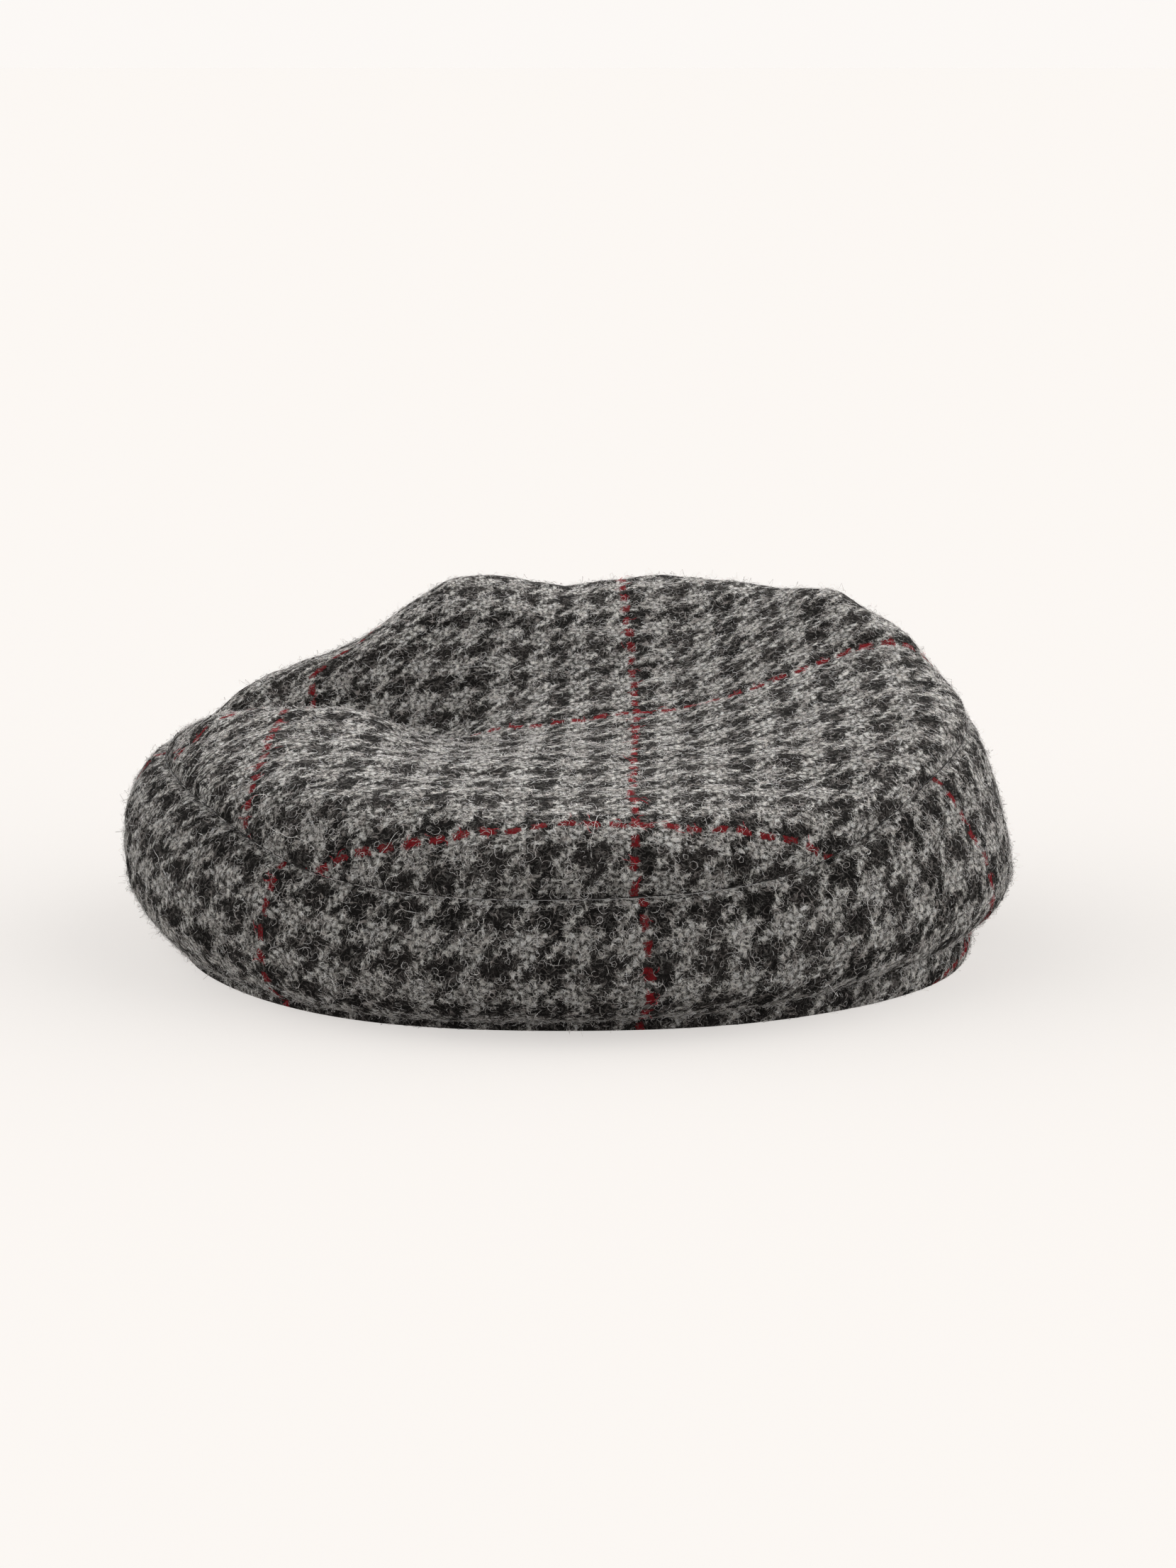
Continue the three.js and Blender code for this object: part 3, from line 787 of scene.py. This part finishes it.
class Face:
    """A grid of places over the outer face of a piece, which fibres are laid along. Its rows go
    round the hat, and chart holds the yarns counted at each place."""

    def __init__(self, grid, chart):
        self.grid, self.chart = grid, chart
        self.right = (np.roll(grid, -1, 1) - np.roll(grid, 1, 1)) / 2
        self.back = np.gradient(grid, axis=0)
        normal = np.cross(self.right, self.back)
        size = np.linalg.norm(normal, axis=-1, keepdims=True)
        self.area = size[..., 0]
        self.normal = normal / np.maximum(size, 1e-12)

    def read(self, values, at):
        """Values of a grid at places given in columns and rows."""
        rows, columns = values.shape[:2]
        column = np.floor(at[..., 0])
        row = np.clip(np.floor(at[..., 1]), 0, rows - 2)
        across = at[..., 0] - column
        down = np.clip(at[..., 1] - row, 0, 1)
        column, row = column.astype(int), row.astype(int)
        near, far = column % columns, (column + 1) % columns
        while across.ndim < values[row, near].ndim:
            across, down = across[..., None], down[..., None]
        upper = values[row, near] * (1 - across) + values[row, far] * across
        lower = values[row + 1, near] * (1 - across) + values[row + 1, far] * across
        return upper * (1 - down) + lower * down

    def scatter(self, rng, amount, share):
        """Places in columns and rows, as many to each area as its share asks."""
        weight = (self.area * share).ravel()
        cell = rng.choice(weight.size, amount, p=weight / weight.sum())
        row, column = np.divmod(cell, self.grid.shape[1])
        return np.stack([column, row], -1) + rng.uniform(-0.5, 0.5, (amount, 2))

    def step(self, at, heading, length):
        """Places a length further on over the face, in headings measured from its columns."""
        right, back, normal = (self.read(grid, at) for grid in (self.right, self.back, self.normal))
        one = right / np.linalg.norm(right, axis=-1, keepdims=True)
        other = np.cross(normal, one)
        way = one * np.cos(heading)[..., None] + other * np.sin(heading)[..., None]
        # How far the way runs in columns and in rows, from its products with their directions.
        wide, skew, deep = [np.sum(first * second, -1)
                            for first, second in ((right, right), (right, back), (back, back))]
        by_column, by_row = np.sum(way * right, -1), np.sum(way * back, -1)
        size = np.maximum(wide * deep - skew * skew, 1e-18)
        move = [by_column * deep - by_row * skew, by_row * wide - by_column * skew]
        move = np.stack(move, -1) / size[..., None]
        return at + np.clip(move * length[..., None], -4, 4)


def top_face(sizes, chart):
    """The top as a grid of places, from near its middle to its seam."""
    turns = np.linspace(0, 360, 421)[:-1]
    shares = np.concatenate([np.linspace(0.02, 0.90, 90), np.linspace(0.90, 1.0, 31)[1:]])
    turn, share = np.stack(np.meshgrid(turns, shares), -1).reshape(-1, 2).T
    shape = (len(shares), len(turns))
    grid = top_point(sizes, turn, share).reshape(*shape, 3)[:, ::-1]
    yarns = chart(point_at(sizes, turn, share * seam("out", turn), 0.0)[:, :2]).reshape(*shape, 2)
    return Face(grid, yarns[:, ::-1])


def side_face(sizes):
    """The side panel as a grid of places, from its seam to its foot."""
    turns = np.linspace(PANEL_BACK, PANEL_BACK + 360, 481)[:-1]
    steps = np.linspace(0.0, 3.0, 121)
    turn, along = np.stack(np.meshgrid(turns, steps), -1).reshape(-1, 2).T
    shape = (len(steps), len(turns))
    grid = side_point(sizes, turn, along).reshape(*shape, 3)[:, ::-1]
    yarns = panel_map(sizes, turn, along).reshape(*shape, 2)[:, ::-1]
    return Face(grid, yarns)


def yarn_colour(yarns):
    """Which wool shows at a place: 0 for light, 1 for charcoal, 2 for black, 3 for red."""
    warp, weft = np.floor(yarns[..., 0]), np.floor(yarns[..., 1])
    yarn = np.where(np.mod(weft - warp, REPEAT) < REPEAT / 2 - 0.5, warp, weft)
    dark, black = [np.where(np.mod(yarn, groups * GROUP) < GROUP - 0.5, 1, 0) for groups in (2, 4)]
    return np.where(np.mod(yarn, PANE) < 0.5, 3, dark + black)


def fibres(face, rng, seeds, points, length, radius, curl, lift):
    """Paths of loose fibres that curl over a face: their points, and the way out of the cloth."""
    amount = len(seeds)
    reach = rng.uniform(*length, amount)
    heading = rng.uniform(0, 2 * math.pi, amount)
    bend = rng.uniform(*curl, amount) * rng.choice((-1, 1), amount)
    height = rng.exponential(lift, amount)

    # A fibre arches up from the cloth, and rises and falls on its way.
    arch = np.sin(np.linspace(0.06, math.pi - 0.06, points))
    phase, pace = rng.uniform(0, 2 * math.pi, amount), rng.uniform(0.8, 2.4, amount)
    at, paths, ways = seeds, [], []
    stride = reach / (points - 1)
    for index in range(points):
        normal = face.read(face.normal, at)
        normal /= np.linalg.norm(normal, axis=-1, keepdims=True)
        raised = radius + height * (0.35 * arch[index] + 0.65 * np.sin(phase + pace * index) ** 2)
        paths.append(face.read(face.grid, at) + normal * raised[..., None])
        ways.append(normal)
        heading = heading + bend * stride + rng.normal(0, 0.35, amount)
        at = face.step(at, heading, stride)
    paths = np.stack(paths, 1)
    paths[..., 2] = np.maximum(paths[..., 2], radius)
    return paths, np.stack(ways, 1)


def strands(name, paths, ways, radius):
    """One mesh of closed, tapered strands along paths, each with three sides."""
    amount, points = paths.shape[:2]
    run = np.gradient(paths, axis=1)
    run /= np.maximum(np.linalg.norm(run, axis=-1, keepdims=True), 1e-9)
    one = np.cross(run, ways)
    one /= np.maximum(np.linalg.norm(one, axis=-1, keepdims=True), 1e-9)
    other = np.cross(run, one)
    rings = points - 2
    thick = radius * (0.65 + 0.35 * np.sin(np.linspace(0, math.pi, points)[1:-1]))
    turns = np.radians((90, 210, 330))
    ring = (paths[:, 1:-1, None] + thick[:, None, None]
            * (one[:, 1:-1, None] * np.cos(turns)[:, None] + other[:, 1:-1, None] * np.sin(turns)[:, None]))
    places = np.concatenate([paths[:, :1], ring.reshape(amount, -1, 3), paths[:, -1:]], 1)
    size = places.shape[1]
    faces = []
    for corner in range(3):
        after = (corner + 1) % 3
        faces.append((0, 1 + after, 1 + corner))
        for index in range(rings - 1):
            low, high = 1 + 3 * index, 4 + 3 * index
            faces.append((low + corner, low + after, high + after))
            faces.append((low + corner, high + after, high + corner))
        faces.append((size - 1, size - 4 + corner, size - 4 + after))
    faces = np.array(faces)[None] + (np.arange(amount) * size)[:, None, None]
    data = bpy.data.meshes.new(name)
    data.from_pydata(places.reshape(-1, 3), [], faces.reshape(-1, 3))
    data.shade_smooth()
    piece = bpy.data.objects.new(name, data)
    bpy.context.scene.collection.objects.link(piece)
    return piece


# Loose wool: its colour, how many fibres lie on each face, the points of each, its shortest and
# longest length and its radius in mm, its least and most curl in radians per mm, about how high it
# lifts off the cloth in mm, and how thickly it lies over light, charcoal, black and red yarns.
WOOL_COLUMNS = ("name", "wool", "amount", "points", "length", "radius", "curl", "lift", "over")
WOOL_ROWS = (
    ("pale_fuzz", "pale", 15500, 4, (1.5, 3.5), 0.038, (0.2, 1.0), 0.60, (1.0, 0.16, 0.10, 0.1)),
    ("pale_curls", "pale", 4200, 7, (4, 8), 0.034, (0.5, 1.3), 0.60, (1.0, 0.5, 0.4, 0.3)),
    ("dark_fuzz", "dark", 8000, 4, (1.5, 3.5), 0.045, (0.2, 1.0), 0.55, (1.0, 1.0, 0.9, 0.3)),
    ("red_fuzz", "red", 260, 5, (2, 5), 0.060, (0.2, 0.8), 0.35, (0.0, 0.0, 0.0, 1.0)),
    ("long_hairs", "white", 45, 10, (9, 20), 0.055, (0.02, 0.3), 0.90, (1.0, 1.0, 1.0, 1.0)),
)
WOOL_SHADES = {"pale": (0.92, 0.85, 0.81), "dark": (0.014, 0.012, 0.011), "red": (0.42, 0.014, 0.028),
               "white": (0.93, 0.90, 0.87)}


def lay_wool(prefix, face, seed):
    """Lays all the loose wool of a piece."""
    rng = np.random.default_rng(seed)
    kinds = yarn_colour(face.chart)
    for row in WOOL_ROWS:
        wool = dict(zip(WOOL_COLUMNS, row))
        share = np.array(wool["over"])[kinds]
        radius = wool["radius"] * MM
        seeds = face.scatter(rng, wool["amount"], share)
        paths, ways = fibres(face, rng, seeds, wool["points"], np.array(wool["length"]) * MM, radius,
                             np.array(wool["curl"]) / MM, wool["lift"] * MM)
        piece = strands(f"{prefix}_{wool['name']}", paths, ways, radius)
        title = f"{wool['wool']} wool"
        material = bpy.data.materials.get(title) or plain_wool(title, WOOL_SHADES[wool["wool"]])
        finish_piece(piece, None, material)


class TAM_OT_top_wool(bpy.types.Operator):
    """Lays the loose curly wool over the top"""
    bl_idname = "tam.top_wool"
    bl_label = "Wool of the top"

    def execute(self, context):
        sizes = context.scene.tam_sizes
        lay_wool("top", top_face(sizes, TopMap(sizes)), seed=11)
        return {"FINISHED"}


class TAM_OT_side_wool(bpy.types.Operator):
    """Lays the loose curly wool over the side panel"""
    bl_idname = "tam.side_wool"
    bl_label = "Wool of the side panel"

    def execute(self, context):
        lay_wool("side", side_face(context.scene.tam_sizes), seed=12)
        return {"FINISHED"}


def seam_line(sizes, turn, off):
    """Places on the cloth at a distance from the crown seam, over the top where it is negative."""
    if off >= 0:
        along = np.linspace(0, 0.5, 60)
        rows = np.stack([side_point(sizes, turn, np.full_like(turn, step)) for step in along])
    else:
        shares = np.linspace(1.0, 0.9, 60)
        rows = np.stack([top_point(sizes, turn, np.full_like(turn, share)) for share in shares])
    gone = np.cumsum(np.linalg.norm(np.diff(rows, axis=0, prepend=rows[:1]), axis=-1), 0)
    places = [[np.interp(abs(off), gone[:, spoke], rows[:, spoke, axis]) for axis in range(3)]
              for spoke in range(len(turn))]
    return np.array(places)


class TAM_OT_seam(bpy.types.Operator):
    """Sews the crown seam: its sunken thread, and a row of dark stitches on each side"""
    bl_idname = "tam.seam"
    bl_label = "Crown seam"

    def execute(self, context):
        sizes = context.scene.tam_sizes
        rng = np.random.default_rng(21)
        dark = bpy.data.materials.get("dark thread") or plain_wool("dark thread", THREAD_SHADE)
        turn = np.linspace(0, 360, 361)
        place, facing, _ = seam_at(sizes, turn)
        line = place - facing * (sizes.seam_sink + THREAD_SUNK * MM)
        thread = strands("crown_seam_thread", line[None], facing[None], THREAD_RADIUS * MM)
        finish_piece(thread, None, dark)
        points = 5
        for name, off in (("top_stitches", -STITCH_OFF * MM), ("side_stitches", STITCH_OFF * MM)):
            stray = rng.uniform(-STITCH_STRAY, STITCH_STRAY, STITCHES)
            turns = np.linspace(0, 360, STITCHES, endpoint=False) + stray
            spots = (turns[:, None] + np.linspace(0, STITCH_TURN, points)).ravel()
            places = seam_line(sizes, spots, off).reshape(STITCHES, points, 3)
            out = outward(sizes, spots).reshape(STITCHES, points, 3)
            ways = out * 0.7 + np.array([0, 0, 0.7])
            lift = STITCH_LIFT * MM * np.sin(np.linspace(0, math.pi, points))[None, :, None]
            row = strands(name, places + ways * lift, ways, STITCH_RADIUS * MM)
            finish_piece(row, None, dark)
        return {"FINISHED"}


class TAM_OT_band(bpy.types.Operator):
    """Stands the headband up inside the head opening"""
    bl_idname = "tam.band"
    bl_label = "Headband"

    def execute(self, context):
        sizes = context.scene.tam_sizes

        def lay(turn, step):
            return opening_point(sizes, turn, sizes.gap, sizes.band_height * (step - 1))

        def count(turn, step):
            return np.stack([turn / 360 * BAND_YARNS, step * sizes.band_height / sizes.yarn], -1)

        rings = np.linspace(1, 2, 9)[::-1]
        piece = laid("headband_cloth", spun(rings, BAND_SPOKES), lay, count, BAND_YARNS,
                     sizes.band_cloth)
        finish_piece(piece, "headband", cloth_material(context.scene.tam_colours))
        return {"FINISHED"}


def lay_table(scene):
    """A wide pale table, which glows a little, and a little more to the camera."""
    mesh = bmesh.new()
    bmesh.ops.create_grid(mesh, x_segments=1, y_segments=1, size=40.0)
    data = bpy.data.meshes.new("table")
    mesh.to_mesh(data)
    mesh.free()
    table = bpy.data.objects.new("table", data)
    scene.collection.objects.link(table)
    material = bpy.data.materials.new("pale table")
    n = Nodes(material)
    seen = n.add("ShaderNodeLightPath").outputs["Is Camera Ray"]
    low, high = TABLE_GLOW
    glow = n.add("ShaderNodeMapRange", {"Value": seen, "To Min": low, "To Max": high})
    colour = scene.tam_colours.table
    n.look({"Base Color": shade(colour, TABLE_SHARE), "Roughness": 0.8, "Specular IOR Level": 0.0,
            "Emission Color": shade(colour), "Emission Strength": glow.outputs[0]})
    data.materials.append(material)
    table.location.z = -TABLE_SUNK
    return table


def light_room(scene):
    """A soft room, dim in front and brighter behind and at both sides, with an even backdrop."""
    scene.world = bpy.data.worlds.new("soft room")
    n = Nodes(scene.world, "Background")
    way = n.parts(n.add("ShaderNodeTexCoord").outputs["Generated"])
    dimmed = n.ramp(way[1], -0.6, 0.65, *ROOM_LIGHT)
    sides = n.math("MULTIPLY", way[0], way[0])
    n.look({"Color": ROOM_COLOUR, "Strength": n.math("MULTIPLY_ADD", sides, ROOM_SIDES, dimmed)})
    behind = n.add("ShaderNodeBackground", {"Color": BACKDROP}).outputs[0]
    seen = n.add("ShaderNodeLightPath").outputs["Is Camera Ray"]
    both = n.add("ShaderNodeMixShader", {0: seen, 1: n.shader.outputs[0], 2: behind})
    n.set(n.tree.nodes["World Output"].inputs[0], both.outputs[0])


def hang_lamps(scene, table):
    """The lamps, which light the hat and leave the table out, so that its shadow stays soft."""
    unlit = bpy.data.collections.new("left out by the lamps")
    unlit.objects.link(table)
    unlit.collection_objects[0].light_linking.link_state = "EXCLUDE"
    for title, energy, spread, tilt, lean in LAMPS:
        lamp = bpy.data.lights.new(title, "SUN")
        lamp.energy = energy
        lamp.angle = math.radians(spread)
        lamp.color = LAMP_COLOUR
        holder = bpy.data.objects.new(title, lamp)
        holder.rotation_euler = (math.radians(tilt), math.radians(lean), 0.0)
        scene.collection.objects.link(holder)
        holder.light_linking.receiver_collection = unlit


def set_camera(scene):
    data = bpy.data.cameras.new("camera")
    data.lens = LENS
    camera = bpy.data.objects.new("camera", data)
    tilt = math.radians(ABOVE)
    camera.location = (AIM[0], -DISTANCE * math.cos(tilt), AIM[2] + DISTANCE * math.sin(tilt))
    camera.rotation_euler = (math.pi / 2 - tilt, 0.0, 0.0)
    scene.collection.objects.link(camera)
    scene.camera = camera


class TAM_OT_stage(bpy.types.Operator):
    """Sets the pale table, the soft light and the camera"""
    bl_idname = "tam.stage"
    bl_label = "Table, light and camera"

    def execute(self, context):
        scene = context.scene
        table = lay_table(scene)
        light_room(scene)
        hang_lamps(scene, table)
        set_camera(scene)
        scene.view_settings.view_transform = "Standard"
        return {"FINISHED"}


STEPS = (TAM_OT_top, TAM_OT_side, TAM_OT_band, TAM_OT_seam, TAM_OT_top_wool, TAM_OT_side_wool,
         TAM_OT_stage)


class TAM_PT_panel(bpy.types.Panel):
    """Lists the steps that build the hat"""
    bl_idname = "TAM_PT_panel"
    bl_label = "Tweed Tam"
    bl_space_type = "VIEW_3D"
    bl_region_type = "UI"
    bl_category = "Tweed Tam"

    def draw(self, context):
        for step in STEPS:
            self.layout.operator(step.bl_idname)
        for name in TamSizes.__annotations__:
            self.layout.prop(context.scene.tam_sizes, name)
        for name in TamColours.__annotations__:
            self.layout.prop(context.scene.tam_colours, name)


CLASSES = (TamSizes, TamColours, *STEPS, TAM_PT_panel)


def register():
    for cls in CLASSES:
        bpy.utils.register_class(cls)
    bpy.types.Scene.tam_sizes = bpy.props.PointerProperty(type=TamSizes)
    bpy.types.Scene.tam_colours = bpy.props.PointerProperty(type=TamColours)


def unregister():
    del bpy.types.Scene.tam_colours
    del bpy.types.Scene.tam_sizes
    for cls in reversed(CLASSES):
        bpy.utils.unregister_class(cls)


def main():
    register()
    bpy.ops.tam.top()
    bpy.ops.tam.side()
    bpy.ops.tam.band()
    bpy.ops.tam.seam()
    bpy.ops.tam.top_wool()
    bpy.ops.tam.side_wool()
    bpy.ops.tam.stage()


if __name__ == "__main__":
    main()
